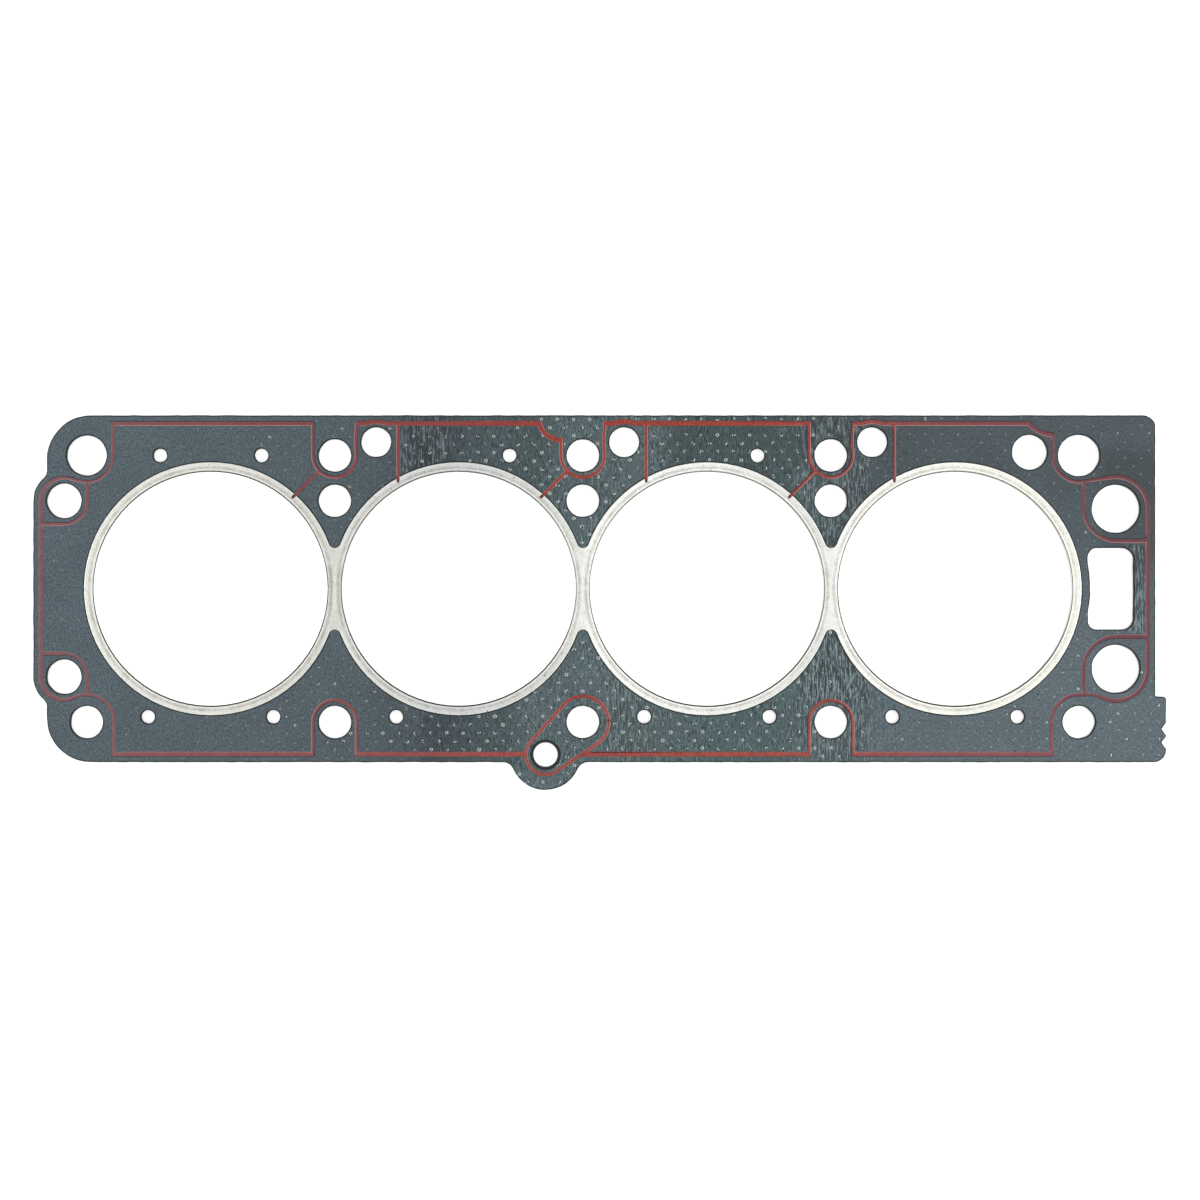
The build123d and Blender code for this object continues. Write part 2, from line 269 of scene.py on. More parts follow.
# Grain: cloudy noise on the object's own coordinates. Size is the grain's width, and Stretch draws
# it out along the gasket's three directions.
grain, grain_in, grain_out = mask_group(
    "Grain",
    [
        ("Size mm", "NodeSocketFloat", 1.0),
        ("Stretch", "NodeSocketVector", (1.0, 1.0, 1.0)),
        ("Detail", "NodeSocketFloat", 3.0),
        ("Contrast", "NodeSocketFloat", 1.0),
    ],
)
grain_place = add(grain, "ShaderNodeTexCoord").outputs["Object"]
grain_drawn = add(
    grain, "ShaderNodeVectorMath", {0: grain_place, 1: grain_in["Stretch"]}, operation="DIVIDE"
).outputs[0]
grain_noise = add(
    grain,
    "ShaderNodeTexNoise",
    {
        "Vector": grain_drawn,
        "Scale": math_node(grain, "DIVIDE", 1 / mm, grain_in["Size mm"]),
        "Detail": grain_in["Detail"],
        "Roughness": 0.6,
    },
).outputs[0]
grain_away = math_node(grain, "SUBTRACT", grain_noise, 0.5)
grain_swing = math_node(grain, "MULTIPLY", grain_away, grain_in["Contrast"])
grain.links.new(math_node(grain, "ADD", grain_swing, 0.5, clamp=True), grain_out["Mask"])

# Zone: a soft-edged rectangle on the gasket's face, given by its middle and half its size.
zone, zone_in, zone_out = mask_group(
    "Zone",
    [
        ("Middle mm", "NodeSocketVector", (0.0, 0.0, 0.0)),
        ("Half size mm", "NodeSocketVector", (10.0, 10.0, 100.0)),
        ("Softness mm", "NodeSocketFloat", 5.0),
    ],
)
zone_place = add(zone, "ShaderNodeTexCoord").outputs["Object"]
zone_mm = add(zone, "ShaderNodeVectorMath", {0: zone_place, "Scale": 1 / mm}, operation="SCALE").outputs[0]
zone_from = add(
    zone, "ShaderNodeVectorMath", {0: zone_mm, 1: zone_in["Middle mm"]}, operation="SUBTRACT"
).outputs[0]
zone_away = add(zone, "ShaderNodeVectorMath", {0: zone_from}, operation="ABSOLUTE").outputs[0]
zone_over = add(
    zone, "ShaderNodeVectorMath", {0: zone_away, 1: zone_in["Half size mm"]}, operation="SUBTRACT"
).outputs[0]
zone_sides = add(zone, "ShaderNodeSeparateXYZ", {0: zone_over})
zone_worst = math_node(zone, "MAXIMUM", zone_sides.outputs[0], zone_sides.outputs[1])
zone_share = math_node(zone, "DIVIDE", zone_worst, zone_in["Softness mm"])
zone.links.new(ramp(zone, zone_share, 0.0, 1.0, 1.0, 0.0), zone_out["Mask"])


def patch(tree, x, y, half_width, half_height, softness, strength=1.0):
    """A soft-edged patch of the gasket's face, all sizes in mm: its strength there and 0 elsewhere."""
    here = use_group(
        tree,
        zone,
        middle_mm=(x, y, 0.0),
        half_size_mm=(half_width, half_height, 0.0),
        softness_mm=softness,
    )
    return math_node(tree, "MULTIPLY", here, strength)


# Ring line: a thin soft circle round an upright axis, given by its centre, radius and width.
ring_line, ring_in, ring_out = mask_group(
    "Ring line",
    [
        ("Centre mm", "NodeSocketVector", (0.0, 0.0, 0.0)),
        ("Radius mm", "NodeSocketFloat", 10.0),
        ("Width mm", "NodeSocketFloat", 0.5),
    ],
)
ring_place = add(ring_line, "ShaderNodeTexCoord").outputs["Object"]
ring_mm = add(
    ring_line, "ShaderNodeVectorMath", {0: ring_place, "Scale": 1 / mm}, operation="SCALE"
).outputs[0]
ring_flat = add(
    ring_line, "ShaderNodeVectorMath", {0: ring_mm, 1: (1.0, 1.0, 0.0)}, operation="MULTIPLY"
).outputs[0]
ring_reach = add(
    ring_line, "ShaderNodeVectorMath", {0: ring_flat, 1: ring_in["Centre mm"]}, operation="DISTANCE"
).outputs[1]
ring_past = math_node(ring_line, "SUBTRACT", ring_reach, ring_in["Radius mm"])
ring_off = math_node(ring_line, "ABSOLUTE", ring_past)
ring_share = math_node(ring_line, "DIVIDE", ring_off, ring_in["Width mm"])
ring_line.links.new(ramp(ring_line, ring_share, 0.35, 1.0, 1.0, 0.0), ring_out["Mask"])

bore_centres = [Vector(m["pos_m"]) for m in frame["record"]["mounts"] if m["name"].startswith("cylinder_")]
flange_edge = bore_centres[0].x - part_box("bore_flange")[0].x


def round_bores(tree, radius, width):
    """A soft circle round every bore, of one radius and width in metres."""
    circles = 0.0
    for centre in bore_centres:
        circle = use_group(
            tree, ring_line, centre_mm=centre / mm, radius_mm=radius / mm, width_mm=width / mm
        )
        circles = math_node(tree, "MAXIMUM", circles, circle)
    return circles


facing_fibre, tree, shader = new_material("facing_fibre")
place = on_gasket(tree)
slates = [
    (-190, colour(70, 85, 92)),
    (-120, colour(69, 84, 90)),
    (-84, colour(68, 83, 88)),
    (-58, colour(54, 68, 74)),
    (-34, colour(64, 81, 84)),
    (20, colour(64, 80, 82)),
    (58, colour(55, 76, 77)),
    (120, colour(66, 80, 85)),
    (200, colour(68, 82, 88)),
]
slate = along_gasket(tree, slates)
# From 120 mm left of the middle rightwards, the facing grows darker towards the top and lighter towards
# the bottom.
middle_and_right = ramp(tree, place[0], -120 * mm, 0.0)
near_edge = ramp(tree, place[1], -50 * mm, 55 * mm, 1.0, 0.0)
lighter_below = math_node(tree, "MULTIPLY", middle_and_right, ramp(tree, near_edge, 0.0, 1.0, -0.24, 0.26))
clouds = use_group(tree, grain, size_mm=16.0, detail=2.0, contrast=1.0)
fibre = use_group(tree, grain, size_mm=0.6, stretch=(1.0, 1.6, 1.0), detail=2.0, contrast=2.4)
brushed = use_group(tree, grain, size_mm=0.36, stretch=(1.0, 7.0, 1.0), detail=1.5, contrast=2.6)
tint = use_group(tree, grain, size_mm=1.3, stretch=(1.0, 1.8, 1.0), detail=1.0, contrast=3.0)
middle_part = patch(tree, 24.0, 0.0, 75.0, 90.0, 35.0)
uneven = use_group(tree, grain, size_mm=8.0, stretch=(1.0, 1.5, 1.0), detail=2.0, contrast=2.0)
brushed_here = math_node(tree, "MULTIPLY", middle_part, ramp(tree, uneven, 0.25, 0.75, 0.35, 1.3))
brushing = math_node(tree, "MULTIPLY", brushed_here, ramp(tree, brushed, 0.0, 1.0, -0.50, 0.62))
slate = mix_colour(tree, ramp(tree, tint, 0.1, 0.9, 0.0, 0.16), slate, colour(92, 84, 92))
tone = math_node(tree, "ADD", ramp(tree, clouds, 0.2, 0.8, 0.93, 1.07), lighter_below)
tone = math_node(tree, "MULTIPLY", tone, ramp(tree, fibre, 0.0, 1.0, 0.64, 1.38))
tone = math_node(tree, "MULTIPLY", tone, math_node(tree, "ADD", brushing, 1.0))
# Where the coating is paler or, below 0, darker: x, y, half sizes, softness and strength of each patch.
paler_patches = [
    (10.0, 36.0, 16.0, 26.0, 12.0, 0.48),
    (86.0, 32.0, 5.0, 8.0, 7.0, 0.36),
    (165.0, 30.0, 5.0, 7.0, 6.0, 0.18),
    (207.0, 32.0, 9.0, 16.0, 8.0, -0.32),
    (207.0, -12.0, 9.0, 22.0, 8.0, -0.14),
    (-42.0, -52.0, 10.0, 9.0, 12.0, -0.26),
    (5.0, -52.0, 92.0, 9.0, 14.0, -0.09),
    (-57.0, 50.0, 6.0, 12.0, 8.0, -0.30),
]
paleness = 1.0
for paler in paler_patches:
    paleness = math_node(tree, "ADD", paleness, patch(tree, *paler))
tone = math_node(tree, "MULTIPLY", tone, paleness)
slate = add(tree, "ShaderNodeVectorMath", {0: slate, "Scale": tone}, operation="SCALE").outputs[0]

# Where the calender's streaks show, given in the same way.
streaked_patches = [
    (-59.0, 52.0, 6.0, 9.0, 7.0, 0.6),
    (7.0, 20.0, 5.0, 22.0, 7.0, 0.4),
    (17.0, -45.0, 5.0, 14.0, 9.0, 0.55),
    (94.0, 0.0, 10.0, 61.0, 7.0, 0.62),
    (94.0, -20.0, 10.0, 20.0, 7.0, 1.0),
    (207.5, 0.0, 2.0, 15.0, 3.0, 0.8),
]
streaked = 0.0
for streaky in streaked_patches:
    streaked = math_node(tree, "MAXIMUM", streaked, patch(tree, *streaky))
streaks = use_group(tree, grain, size_mm=0.40, stretch=(1.0, 9.0, 1.0), detail=2.5, contrast=4.0)
dark_streaks = math_node(tree, "MULTIPLY", ramp(tree, streaks, 0.56, 0.22), streaked)
pale_streaks = math_node(tree, "MULTIPLY", ramp(tree, streaks, 0.62, 0.95), streaked)
slate = mix_colour(tree, math_node(tree, "MULTIPLY", dark_streaks, 0.84), slate, colour(24, 34, 36))
slate = mix_colour(tree, math_node(tree, "MULTIPLY", pale_streaks, 0.52), slate, colour(158, 172, 176))

# Painted shadow: a thin dark ring on the facing just outside the flange's edge, where the flange's leg
# stands above it.
shadow_gap = 0.25 * mm
flange_shadow = round_bores(tree, flange_edge + shadow_gap / 2, 2 * shadow_gap)
# One pale nick by the upper edge, and two dark specks.
nick = patch(tree, 128.4, 63.9, 0.15, 0.7, 0.3, 0.7)
slate = mix_colour(tree, nick, slate, colour(160, 166, 166))
for x, y in ((170.5, -39.5), (162.0, -60.8)):
    speck = patch(tree, x, y, 0.2, 0.2, 0.35, 0.7)
    slate = mix_colour(tree, speck, slate, colour(12, 16, 24))
# The cut walls and the rolled-down strip along every cut edge are near-black: partly the cut fibre's own
# darker edge, partly painted shade. The painted flange shadow joins them.
edge_shade_line = math_node(tree, "MAXIMUM", flange_shadow, ramp(tree, from_mesh(tree, "cut_edge"), 0.1, 0.8))
slate = mix_colour(tree, edge_shade_line, slate, colour(5, 14, 11))
shader.inputs["Specular IOR Level"].default_value = 0.35
tree.links.new(slate, shader.inputs["Base Color"])
tree.links.new(ramp(tree, fibre, 0.0, 1.0, 0.46, 0.62), shader.inputs["Roughness"])
relief = math_node(tree, "ADD", fibre, math_node(tree, "MULTIPLY", streaks, streaked))
relief = math_node(tree, "ADD", relief, math_node(tree, "MULTIPLY", brushed, brushed_here))
fine_relief(tree, shader, relief, 0.8, 0.02 * mm)

for node, side in (("upper_facing", 1), ("lower_facing", -1)):
    bm = merged_copy(node)
    square_walls(bm)
    divide_outline(bm, longest_cut_edge)
    wander(bm, cut_wander, cut_wander_length)
    bm.normal_update()
    level = max(side * v.co.z for v in bm.verts) * side
    cut = bm.verts.layers.float.new("cut_edge")
    lines = shape_edge(bm, outer_faces(bm, side, level), side, cut_roll)
    # Marks the walls and rolled-down strips for the painted edge shade.
    for v in wall_points(bm).union(*lines[:-1]):
        v[cut] = 1.0
    facing = finished_piece(bm, f"{node}_sheet", facing_fibre, sharp_angle=60)
    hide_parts(node)


# Core: a cold-rolled sheet of steel between the facings. Only its cut edge shows in the holes, and
# a ring of its face in the oil feed hole, where the facings are cut back.
core_steel, tree, shader = new_material("core_steel")
rolling = use_group(tree, grain, size_mm=0.12, stretch=(14.0, 1.0, 1.0), detail=3.0, contrast=2.0)
stain = use_group(tree, grain, size_mm=2.2, detail=3.0, contrast=2.0)
# The steel is coloured far darker than bare steel: painted shade for its ring and edges deep in the holes.
steel = mix_colour(tree, rolling, colour(38, 44, 42), colour(62, 68, 66))
steel = mix_colour(tree, ramp(tree, stain, 0.55, 0.9, 0.0, 0.5), steel, colour(30, 30, 26))
shader.inputs["Metallic"].default_value = 0.6
tree.links.new(steel, shader.inputs["Base Color"])
tree.links.new(ramp(tree, rolling, 0.0, 1.0, 0.38, 0.55), shader.inputs["Roughness"])
fine_relief(tree, shader, rolling, 0.5, 0.01 * mm)
core = frame["nodes"]["steel_core"]
core.data.materials.clear()
core.data.materials.append(core_steel)


# Flange: one thin aluminised steel sheet folded round the edge of all four bores. Its leg has a
# raised rim along the outside, a flat in the middle and a coined band with a pressed crease beside
# the fold.
rim_roll = (0.10 * mm, 0.05 * mm)
rim_crest = (0.26 * mm, 0.0)
rim_slope = (0.14 * mm, 0.0)
flat_fall = 0.035 * mm
coined_level = 0.80 * mm
crease_steps = [(0.02 * mm, 0.0), (0.05 * mm, 0.0), (0.37 * mm, 0.0), (0.07 * mm, 0.0)]
crease_depth = 0.09 * mm
crease_shade = 0.64
lower_crease_shade = 0.36
left_crease_shade = 0.18
coined_edge_shade = 0.12
coined_edge_highlight = 0.8
rim_inner_radius = 45.7 * mm
step_shade_radius = 45.45 * mm
step_shade_width = 0.75 * mm
web_shade_radius = 44.75 * mm
web_shade_width = 1.0 * mm

flange_steel, tree, shader = new_material("flange_steel")
blotches = use_group(tree, grain, size_mm=2.6, detail=4.0, contrast=1.8)
spangle = use_group(tree, grain, size_mm=0.45, detail=3.0, contrast=2.4)
grit = use_group(tree, grain, size_mm=0.5, detail=1.0, contrast=4.0)
metals = [
    (-187, colour(246, 247, 239)),
    (-139.5, colour(243, 242, 235)),
    (-93, colour(228, 227, 220)),
    (-46.5, colour(214, 217, 217)),
    (0, colour(236, 237, 231)),
    (46.5, colour(232, 233, 229)),
    (93, colour(220, 221, 217)),
    (139.5, colour(221, 221, 212)),
    (187, colour(223, 223, 214)),
]
metal = along_gasket(tree, metals)
# Painted shade where each web falls away a little beside its two bores, and a painted highlight on the
# ridge along its middle.
webs = 0.0
ridge_highlights = 0.0
for x, slope_shade_strength, ridge_highlight_strength in ((-93.0, 0.28, 0.45), (0.0, 0.14, 0.3), (93.0, 0.16, 0.0)):
    webs = math_node(tree, "MAXIMUM", webs, patch(tree, x, 0.0, 2.5, 6.0, 4.0, slope_shade_strength))
    ridge_highlights = math_node(tree, "MAXIMUM", ridge_highlights, patch(tree, x, 0.0, 0.3, 8.0, 0.7, ridge_highlight_strength))
falls = math_node(tree, "MULTIPLY", round_bores(tree, web_shade_radius, web_shade_width), webs)
# Painted shade: a soft grey ring just outside the step at the coined band's outer edge, mottled by the
# blotches.
blotched_step_shade = ramp(tree, blotches, 0.2, 0.8, 0.25, 0.6)
step_shade = math_node(tree, "MULTIPLY", round_bores(tree, step_shade_radius, step_shade_width), blotched_step_shade)
metal = mix_colour(tree, step_shade, metal, colour(170, 168, 162))
# Painted highlight on the crest of the leg's outer rim and on the coined band's outer crest.
crest_highlight_share = ramp(tree, from_mesh(tree, "crest_highlight"), 0.2, 0.9, 0.0, 0.45)
metal = mix_colour(tree, crest_highlight_share, metal, colour(253, 252, 246))
metal = mix_colour(tree, ridge_highlights, metal, colour(252, 250, 246))
metal = mix_colour(tree, falls, metal, colour(110, 108, 104))
metal = mix_colour(tree, ramp(tree, blotches, 0.45, 0.85, 0.0, 0.14), metal, colour(168, 164, 158))
metal = mix_colour(tree, ramp(tree, spangle, 0.5, 0.95, 0.0, 0.12), metal, colour(150, 150, 150))
metal = mix_colour(tree, ramp(tree, grit, 0.98, 1.0, 0.0, 0.25), metal, colour(60, 58, 56))
# Painted shadow in the crease beside the fold, set on the mesh's points.
crease_shadow = ramp(tree, from_mesh(tree, "crease"), 0.0, 1.0, 0.0, 0.98)
metal = mix_colour(tree, crease_shadow, metal, colour(14, 18, 12))
# Three small dull scabs.
for x, y in ((-25.9, 41.6), (-35.8, -45.9), (-14.4, -32.7)):
    scab = patch(tree, x, y, 0.15, 0.15, 0.25, 0.7)
    metal = mix_colour(tree, scab, metal, colour(70, 66, 62))
shader.inputs["Metallic"].default_value = 0.8
tree.links.new(metal, shader.inputs["Base Color"])
tree.links.new(ramp(tree, spangle, 0.0, 1.0, 0.30, 0.48), shader.inputs["Roughness"])
fine_relief(tree, shader, spangle, 0.35, 0.012 * mm)


def from_bore(v):
    """The way from the nearest bore's axis to a point, and how far it is."""
    return min(((v.co.xy - centre.xy) for centre in bore_centres), key=lambda way: way.length)


bm = merged_copy("bore_flange")
bm.normal_update()
leg_level = max(v.co.z for v in bm.verts)
leg = outer_faces(bm, 1, leg_level)
crest_highlight = bm.verts.layers.float.new("crest_highlight")
rim = shape_edge(bm, leg, 1, [rim_roll, rim_crest, rim_slope])
for v in {v for f in leg for v in f.verts}:
    v.co.z -= flat_fall
# The outer rim's crest gets the painted highlight.
for v in rim[1] | rim[2]:
    v[crest_highlight] = 1.0
high = [v for v in bm.verts if v.co.z > coined_level + same_level]
for v in [v for v in high if from_bore(v).length < rim_inner_radius]:
    v.co.z = leg_level - flat_fall
    v[crest_highlight] = 0.0
crease = bm.verts.layers.float.new("crease")
lines = shape_edge(bm, outer_faces(bm, 1, coined_level), 1, crease_steps)
reaches = [from_bore(v).length for v in lines[0]]
band_middle = (max(reaches) + min(reaches)) / 2
# Painted crease shadow along the band's inner half, darker on each bore's lower side and towards the left
# end.
for v in lines[0] | lines[1] | lines[2] | lines[3]:
    way = from_bore(v)
    if way.length < band_middle:
        v[crease] = crease_shade + lower_crease_shade * max(0.0, -way.normalized().y)
        v[crease] += left_crease_shade * min(1.0, max(0.0, -v.co.x / bore_centres[-1].x))
# The crease sinks inside the band's middle; outside it, the band's outer crest gets the painted highlight.
for v in lines[2] | lines[3]:
    if from_bore(v).length < band_middle:
        v.co.z -= crease_depth
    else:
        v[crest_highlight] = coined_edge_highlight
# A fainter painted shade along the band's outer step.
for v in lines[0]:
    if from_bore(v).length > band_middle:
        v[crease] = coined_edge_shade
flange = finished_piece(bm, "bore_flange_sheet", flange_steel, sharp_angle=50)
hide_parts("bore_flange")


# Sealing beads: one network of lines on each face, screen-printed in red elastomer. The wet print
# draws itself up into a low round ridge, and a few ribs run out over the flange in a thin dark tail.
longest_print_edge = 2.0 * mm
print_wander = 0.05 * mm
print_wander_length = 4.0 * mm
print_falls = [(0.14 * mm, 0.10 * mm), (0.20 * mm, 0.035 * mm)]
flank_light_on_shoulder = 0.9
lit_flank_across = 0.8
lit_flank_low_share = 0.65
lit_flank_along = 0.8
lit_flank_swing = 160 * mm
lit_flank_from_middle = 100 * mm
both_flanks = 0.9
wide_print_from = 195 * mm
wide_print = 0.18 * mm
tail_lead = 0.8 * mm
tail_length = 1.75 * mm
tail_width = 1.3 * mm
tail_root = 0.70 * mm
tail_start_level = 0.74 * mm
tail_steps = 6
tail_fade = 1.0 * mm
tail_taper = 0.5
tail_end = 0.3 * mm
tail_end_fall = 0.03 * mm
tail_brow = 0.2 * mm
tail_level = 0.90 * mm
rib_from_bolt = 23.75 * mm
bolt_row_y = 50 * mm

bead_elastomer, tree, shader = new_material("bead_elastomer")
dried = use_group(tree, grain, size_mm=3.0, detail=3.0, contrast=1.6)
fine = use_group(tree, grain, size_mm=0.35, detail=3.0, contrast=1.8)
# The greyer, duller reds towards the two ends are partly the print's own colour and partly painted sheen.
reds = [
    (-205, colour(113, 76, 80)),
    (-110, colour(114, 60, 64)),
    (-60, colour(128, 52, 50)),
    (-10, colour(140, 42, 26)),
    (70, colour(140, 42, 24)),
    (120, colour(118, 56, 58)),
    (205, colour(88, 40, 52)),
]
red = along_gasket(tree, reds)
low_side = ramp(tree, on_gasket(tree)[1], -30 * mm, -60 * mm, 0.0, 0.28)
red = mix_colour(tree, low_side, red, colour(150, 96, 88))
red = mix_colour(tree, ramp(tree, dried, 0.3, 0.8, 0.0, 0.35), red, colour(104, 40, 42))
red = mix_colour(tree, ramp(tree, fine, 0.6, 1.0, 0.0, 0.25), red, colour(190, 110, 108))
clots = use_group(tree, grain, size_mm=0.9, detail=1.5, contrast=3.0)
full_red = patch(tree, 40.0, 0.0, 65.0, 90.0, 35.0)
bright_clots = math_node(tree, "MULTIPLY", ramp(tree, clots, 0.55, 0.95, 0.0, 0.32), full_red)
dark_clots = math_node(tree, "MULTIPLY", ramp(tree, clots, 0.45, 0.10, 0.0, 0.32), full_red)
red = mix_colour(tree, bright_clots, red, colour(204, 72, 38))
red = mix_colour(tree, dark_clots, red, colour(92, 26, 20))
# Painted light and shade on the bead's flanks: the lit flank pale, the shaded flank near-black.
flank = from_mesh(tree, "flank_light")
red = mix_colour(tree, ramp(tree, flank, 0.1, 0.8, 0.0, 0.75), red, colour(184, 132, 130))
red = mix_colour(tree, ramp(tree, flank, -0.1, -0.6, 0.0, 0.95), red, colour(34, 8, 10))
smudge = patch(tree, 10.0, -49.4, 1.2, 0.25, 0.3, 0.7)
red = mix_colour(tree, smudge, red, colour(52, 18, 22))
thin_tail = ramp(tree, from_mesh(tree, "on_steel"), 0.1, 1.0, 0.0, 0.85)
red = mix_colour(tree, thin_tail, red, colour(56, 14, 22))
shader.inputs["Specular IOR Level"].default_value = 0.4
tree.links.new(red, shader.inputs["Base Color"])
tree.links.new(ramp(tree, dried, 0.0, 1.0, 0.38, 0.55), shader.inputs["Roughness"])
fine_relief(tree, shader, fine, 0.5, 0.015 * mm)


def lit_flank_way(v):
    """The way that the paler flank of a line faces here: painted light on that flank, painted shade on the
    other.
    """
    x = lit_flank_along * math.sin(math.pi * max(-1.0, v.co.x / lit_flank_swing))
    y = lit_flank_across * min(1.0, abs(v.co.x) / lit_flank_from_middle)
    if v.co.y < 0:
        y *= lit_flank_low_share
    return Vector((x, -math.copysign(y, v.co.y)))


def outward_way(v):
    """The way that the cut or printed edge faces at one of its points."""
    return sum((f.normal for f in v.link_faces if upright(f)), Vector()).xy.normalized()


def rib_tail():
    """The end of one rib: a thin flat tail that climbs the flange's edge and lies on its rim."""
    tail = bmesh.new()
    on_steel = tail.verts.layers.float.new("on_steel")
    bmesh.ops.create_cube(tail, size=1.0)
    size = (tail_lead + tail_length, tail_width, tail_level - tail_root)
    bmesh.ops.scale(tail, vec=size, verts=tail.verts)
    middle = Vector(((tail_length - tail_lead) / 2, 0, (tail_level + tail_root) / 2))
    bmesh.ops.translate(tail, vec=middle, verts=tail.verts)
    rails = [e for e in tail.edges if abs(e.verts[0].co.x - e.verts[1].co.x) > mm]
    bmesh.ops.subdivide_edges(tail, edges=rails, cuts=tail_steps, use_grid_fill=True)
    upper_edges = [e for e in tail.edges if min(v.co.z for v in e.verts) > middle.z]
    brow = [e for e in upper_edges if len({v.co.y for v in e.verts}) == 1]
    bmesh.ops.bevel(
        tail, geom=brow, offset=tail_brow, segments=2, profile=0.5, affect="EDGES", material=-1
    )
    for v in tail.verts:
        if v.co.z > middle.z:
            climb = min(1.0, (v.co.x + tail_lead) / tail_lead)
            end = min(1.0, (tail_length - v.co.x) / tail_end)
            v.co.z -= (1 - climb) * (tail_level - tail_start_level) + (1 - end) * tail_end_fall
        v.co.y *= 1.0 - tail_taper * max(0.0, v.co.x / tail_length) ** 3
        v[on_steel] = max(0.0, min(1.0, v.co.x / tail_fade))
    return kept_mesh(tail, "rib_tail")


def rib_ends():
    """Where each rib meets the flange's edge, and the way that it runs there."""
    for before, after in zip(bore_centres[:-1], bore_centres[1:]):
        bolt = Vector(((before.x + after.x) / 2, bolt_row_y))
        x = bolt.x + rib_from_bolt
        yield Vector((x, math.sqrt(flange_edge**2 - (x - after.x) ** 2))), Vector((0, -1))
        slant = Vector((-1, -1)).normalized()
        away = bolt - before.xy
        half = -away.dot(slant)
        reach = half - math.sqrt(half**2 - away.length_squared + flange_edge**2)
        yield bolt + slant * reach, slant


for node, side in (("upper_sealing_bead", 1), ("lower_sealing_bead", -1)):
    bm = merged_copy(node)
    square_walls(bm)
    divide_outline(bm, longest_print_edge)
    bm.normal_update()
    level = max(side * v.co.z for v in bm.verts) * side
    on_steel = bm.verts.layers.float.new("on_steel")
    flank_light = bm.verts.layers.float.new("flank_light")
    for v, way in [(v, outward_way(v)) for v in wall_points(bm) if abs(v.co.x) > wide_print_from]:
        v.co += (way * wide_print).to_3d()
    lines = shape_edge(bm, outer_faces(bm, side, level), side, print_falls)
    # Which flank is painted lit and which painted shaded, set on the print's edge points; in the middle
    # both flanks of the ribs are painted lit.
    for v in wall_points(bm):
        way = outward_way(v)
        share = max(0.0, 1.0 - abs(v.co.x) / lit_flank_from_middle)
        v[flank_light] = way.dot(lit_flank_way(v)) * (1.0 - share) + share * both_flanks * abs(way.x)
    for v in lines[1]:
        edge_points = [e.other_vert(v) for e in v.link_edges if e.other_vert(v) in lines[0]]
        if edge_points:
            v[flank_light] = flank_light_on_shoulder * edge_points[0][flank_light]
    wander(bm, print_wander, print_wander_length)
    if side == 1:
        for edge, inward in rib_ends():
            tail = rib_tail()
            turn = Matrix.Rotation(math.atan2(inward.y, inward.x), 4, "Z")
            tail.transform(Matrix.Translation(edge.to_3d()) @ turn)
            bm.from_mesh(tail)
    bead = finished_piece(bm, f"{node}_print", bead_elastomer, sharp_angle=55)
    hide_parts(node)


# Tangs: prongs that a punch raises from the core, four round each hole. They come through both
# facings in staggered rows and are rolled flat, which leaves bright steel tips round a pit whose
# darkness is painted shade.
tang_pitch = 5.99 * mm
tang_row = 3.09 * mm
tang_start = Vector((-0.24, -1.33)) * mm
tang_turn = 0.004
rows_each_way = 24
columns_each_way = 38
tang_scatter = 0.12 * mm
tang_radius = 0.68 * mm
tang_crest_radius = 0.62 * mm
tang_crest_width = 0.36 * mm
tang_pit_depth = 0.05 * mm
tang_height = 0.07 * mm
tang_proud = 0.045 * mm
tang_clear = 0.75 * mm
tang_sides = 8
tang_lean_range = (1, 4)
tang_size_range = (0.8, 1.05)
faint_tang_size = 0.7
faint_tang_lift = 0.35
faint_tang_share = 0.4
proud_tang_share = 1.8
strong_tips = [(1.0, 0.9, 1.0, 0.8), (1.0, 0.2, 0.9, 0.1), (1.0, 0.9, 0.1, 0.3), (1.0, 0.1, 0.7, 0.9)]
faint_tips = [(0.62, 0.3, 0.5, 0.2), (0.56, 0.46, 0.2, 0.2), (0.52, 0.2, 0.44, 0.4)]
between_tips = 0.4
tip_rise = 0.025 * mm

tang_steel, tree, shader = new_material("tang_steel")
smear = use_group(tree, grain, size_mm=0.3, detail=2.0, contrast=2.0)
tip = mix_colour(tree, smear, colour(196, 206, 206), colour(244, 248, 246))
tip = mix_colour(tree, ramp(tree, from_mesh(tree, "bare_steel"), 0.1, 0.8), colour(58, 72, 76), tip)
# Painted shade in the pit between the tips.
tip = mix_colour(tree, ramp(tree, from_mesh(tree, "pit"), 0.3, 1.0), tip, colour(18, 28, 28))
shader.inputs["Metallic"].default_value = 0.45
shader.inputs["Roughness"].default_value = 0.4
tree.links.new(tip, shader.inputs["Base Color"])

node_trees = {}
for node in ("upper_facing", "bore_flange", "upper_sealing_bead"):
    bm = merged_copy(node)
    node_trees[node] = BVHTree.FromBMesh(bm)
    bm.free()


def bare_facing(x, y):
    """Whether a tang here would come up through open facing, clear of holes, flange and bead."""
    for dx, dy in ((0, 0), (1, 0), (-1, 0), (0, 1), (0, -1)):
        above = Vector((x + dx * tang_clear, y + dy * tang_clear, 10 * mm))
        if node_trees["upper_facing"].ray_cast(above, Vector((0, 0, -1)))[0] is None:
            return False
        for covering in ("bore_flange", "upper_sealing_bead"):
            if node_trees[covering].ray_cast(above, Vector((0, 0, -1)))[0] is not None:
                return False
    return True


def hump(away, reach, steepness):
    """A smooth hump: 1 in its middle, about a third at its reach, and sharper the steeper it is."""
    return math.exp(-((away / reach) ** steepness))


